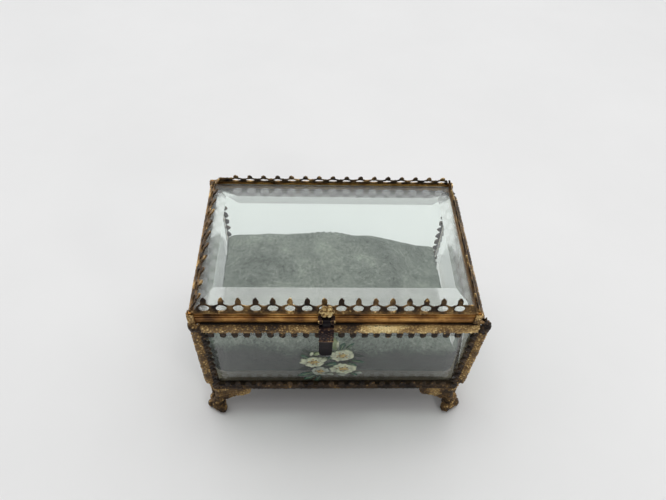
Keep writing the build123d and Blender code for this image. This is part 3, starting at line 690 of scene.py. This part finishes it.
class Spray:
    """Dabs of enamel gathered into one mesh. Places are x and z on the pane, in mm."""

    def __init__(self):
        self.mesh = bmesh.new()
        self.shade = self.mesh.verts.layers.float.new("shade")
        self.paints = list(PAINTS)

    def dab(self, paint, x, z, length, width, turn, layer, notch=0.0, ruffle=0.06, dark_root=True):
        """A rounded dab from its root at x, z along turn degrees, thickest at its middle.

        A notch dents its far end, ruffle waves its edge, and a higher layer lies further out.
        """
        direction = Vector((cos(radians(turn)), sin(radians(turn))))
        across = Vector((-direction.y, direction.x))
        centre = Vector((x, z)) + direction * length / 2
        lift = 0.02 + 0.075 * layer
        rows = []
        for ring in range(1, DAB_RINGS + 1):
            share = ring / DAB_RINGS
            row = []
            for i in range(DAB_POINTS):
                angle = tau * i / DAB_POINTS
                reach = 1 + ruffle * sin(5 * angle + x * 3 + z)
                dent = notch * exp(-((angle if angle < pi else angle - tau) / 0.38) ** 2)
                a = cos(angle) * length / 2 * share * (reach - dent)
                b = sin(angle) * width / 2 * share * reach * (1 + 0.18 * cos(angle))
                flat = centre + direction * a + across * b
                out = lift + DAB_THICK * (1 - share**3)
                vertex = self.mesh.verts.new(Vector((flat.x, pane_face(flat.y) - out, flat.y)) * MM)
                along = 0.5 + a / length
                rim = 1.0 - 0.45 * (share == 1.0)
                vertex[self.shade] = (0.15 + 0.85 * along) * rim if dark_root else 0.7
                row.append(vertex)
            rows.append(row)
        top = self.mesh.verts.new(Vector((centre.x, pane_face(centre.y) - lift - DAB_THICK, centre.y)) * MM)
        top[self.shade] = 0.5
        round_the_rim = [(i, (i + 1) % DAB_POINTS) for i in range(DAB_POINTS)]
        faces = [(top, rows[0][i], rows[0][j]) for i, j in round_the_rim]
        for inner, outer in zip(rows, rows[1:]):
            faces += [(inner[i], outer[i], outer[j], inner[j]) for i, j in round_the_rim]
        underside = []
        for vertex in rows[-1]:
            root = pane_face(vertex.co.z / MM) - 0.005
            below = self.mesh.verts.new((vertex.co.x, root * MM, vertex.co.z))
            below[self.shade] = vertex[self.shade]
            underside.append(below)
        faces += [(rows[-1][i], underside[i], underside[j], rows[-1][j]) for i, j in round_the_rim]
        for corners in faces:
            face = self.mesh.faces.new(corners)
            face.material_index = self.paints.index(paint)
            face.smooth = True

    def rose(self, x, z, radius, paint, turn, petals=5, squash=0.8, layer=2):
        """Two whorls of notched petals round a stippled heart."""
        for i in range(petals):
            angle = turn + 360 * i / petals
            flatten = 1 - (1 - squash) * abs(sin(radians(angle)))
            length = radius * (0.92 + 0.1 * sin(i * 2.1 + x)) * flatten
            root_x = x + 0.12 * radius * cos(radians(angle))
            root_z = z + 0.12 * radius * sin(radians(angle)) * squash
            self.dab(paint, root_x, root_z, length, radius * 0.84, angle, layer + 0.3 * (i % 2), 0.26, 0.09)
        for i in range(petals):
            angle = turn + 36 + 360 * i / petals
            self.dab(paint, x, z, radius * 0.62, radius * 0.5, angle, layer + 1.0 + 0.2 * (i % 2), 0.12)
        heart_z = z + 0.05 * radius
        self.dab("ochre", x - 0.34 * radius, heart_z, 0.68 * radius, 0.5 * radius, 0, layer + 1.7, ruffle=0.15)
        for i in range(11):
            angle = turn + 33 * i
            reach = radius * (0.14 + 0.24 * (i % 3) / 2)
            self.dab(
                "umber" if i % 2 else "ochre",
                x + reach * cos(radians(angle)),
                heart_z + reach * sin(radians(angle)) * squash,
                radius * 0.2,
                radius * 0.12,
                angle,
                layer + 2.3,
                dark_root=False,
            )

    def leaf(self, x, z, length, width, turn):
        """A dark leaf with a pale rib."""
        self.dab("leaf", x, z, length, width, turn, 0.0, ruffle=0.12)
        self.dab("bud", x, z, length * 0.8, width * 0.12, turn, 0.55, ruffle=0.0)

    def finish(self, name):
        mesh = bpy.data.meshes.new(name)
        bmesh.ops.recalc_face_normals(self.mesh, faces=self.mesh.faces)
        self.mesh.to_mesh(mesh)
        for paint in self.paints:
            mesh.materials.append(PAINTS[paint])
        return link(name, mesh)


BUD_LAYER = 2.2
spray = Spray()
# Leaves and stems.
for x, z, length, width, turn in (
    (-8.5, 27.5, 7.5, 2.6, 205),
    (-8.0, 26.0, 7.6, 2.8, 232),
    (-6.5, 25.0, 7.4, 2.4, 258),
    (-10.5, 37.5, 4.6, 1.8, 140),
    (4.8, 36.5, 5.4, 2.0, -18),
    (3.5, 35.0, 5.0, 1.9, -40),
    (-5.0, 32.5, 5.0, 3.0, 20),
    (-4.5, 36.5, 4.0, 2.4, 45),
    (4.6, 27.0, 4.2, 1.6, -35),
    (0.6, 44.0, 5.2, 2.0, 78),
    (2.4, 45.0, 5.0, 1.2, 55),
):
    spray.leaf(x, z, length, width, turn)
# A rose in shade at the bottom and three full ones round it.
spray.rose(-6.6, 28.0, 3.9, "grey_cream", 15, layer=0.6)
spray.rose(-9.2, 35.2, 5.0, "cream", 30, layer=1.4)
spray.rose(2.2, 30.0, 5.1, "cream", 8, petals=6, layer=1.4)
spray.rose(1.4, 40.2, 4.9, "cream", 52, petals=6, layer=2.0)
# Buds and loose petals.
for x, z, length, width, turn, paint in (
    (-1.4, 44.2, 8.0, 2.6, 96, "bud"),
    (-0.9, 44.6, 6.0, 1.2, 88, "cream"),
    (-4.4, 38.6, 3.4, 2.4, 235, "cream"),
    (-9.2, 40.4, 3.0, 1.8, 40, "bud"),
    (-10.4, 40.0, 2.6, 1.3, 75, "cream"),
    (-5.2, 26.8, 4.2, 1.7, -20, "grey_cream"),
    (-0.6, 26.6, 4.4, 1.9, -25, "grey_cream"),
    (6.4, 27.4, 3.4, 1.6, -12, "grey_cream"),
):
    spray.dab(paint, x, z, length, width, turn, BUD_LAYER)
roses = spray.finish("painted_rose_spray")
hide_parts("painted_flowers")
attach(roses, "base")


# ---------------------------------------------------------------- light and floor
def area_light(name, location, target, size, power, colour):
    """A rectangular lamp at location, facing target. Places and sizes are in metres, power in watts."""
    data = bpy.data.lights.new(name, "AREA")
    data.shape = "RECTANGLE"
    data.size, data.size_y = size
    data.energy = power
    data.color = colour
    lamp = bpy.data.objects.new(name, data)
    lamp.location = location
    lamp.rotation_euler = (Vector(target) - Vector(location)).to_track_quat("-Z", "Y").to_euler()
    bpy.context.scene.collection.objects.link(lamp)


area_light(
    "key", location=(-0.05, 0.24, 1.4), target=(0, 0, 0.03), size=(0.9, 0.42), power=4.2, colour=(1.0, 0.985, 0.95)
)
area_light(
    "front", location=(0.5, -0.6, 0.5), target=(0, 0, 0.05), size=(0.16, 0.16), power=0.9, colour=(1.0, 0.98, 0.95)
)

world = bpy.data.worlds.new("studio")
bpy.context.scene.world = world
world.use_nodes = True
sky = world.node_tree.nodes["Background"]
sky.inputs["Color"].default_value = (0.985, 0.99, 1.0, 1)
# The soft light is strongest from above and behind, and weak from the front.
sky_place = world.node_tree.nodes.new("ShaderNodeTexCoord")
sky_slope = world.node_tree.nodes.new("ShaderNodeVectorMath")
sky_slope.operation = "DOT_PRODUCT"
sky_slope.inputs[1].default_value = (-0.1, 0.97, 0.25)
sky_range = world.node_tree.nodes.new("ShaderNodeMapRange")
sky_range.interpolation_type = "SMOOTHSTEP"
for socket, value in (("From Min", -0.5), ("From Max", 0.95), ("To Min", 0.06), ("To Max", 1.62)):
    sky_range.inputs[socket].default_value = value
world.node_tree.links.new(sky_place.outputs["Generated"], sky_slope.inputs[0])
world.node_tree.links.new(sky_slope.outputs["Value"], sky_range.inputs["Value"])
world.node_tree.links.new(sky_range.outputs["Result"], sky.inputs["Strength"])

bpy.context.scene.view_settings.view_transform = "Standard"


FLOOR_HALF = 1.5


def floor():
    """A wide sheet of pale, faintly mottled paper."""
    mesh = bpy.data.meshes.new("floor")
    corners = [(x * FLOOR_HALF, y * FLOOR_HALF, 0) for x, y in ((-1, -1), (1, -1), (1, 1), (-1, 1))]
    mesh.from_pydata(corners, [], [(0, 1, 2, 3)])
    piece = link("floor", mesh)
    made = Material("floor_paper", Roughness=0.65)
    greys = ((0.3, (0.755, 0.755, 0.755)), (0.7, (0.785, 0.785, 0.785)))
    made.feed("Base Color", made.ramp(made.noise(9.0), greys))
    made.bump((made.noise(900.0), 0.08, 0.05))
    mesh.materials.append(made.data)


floor()
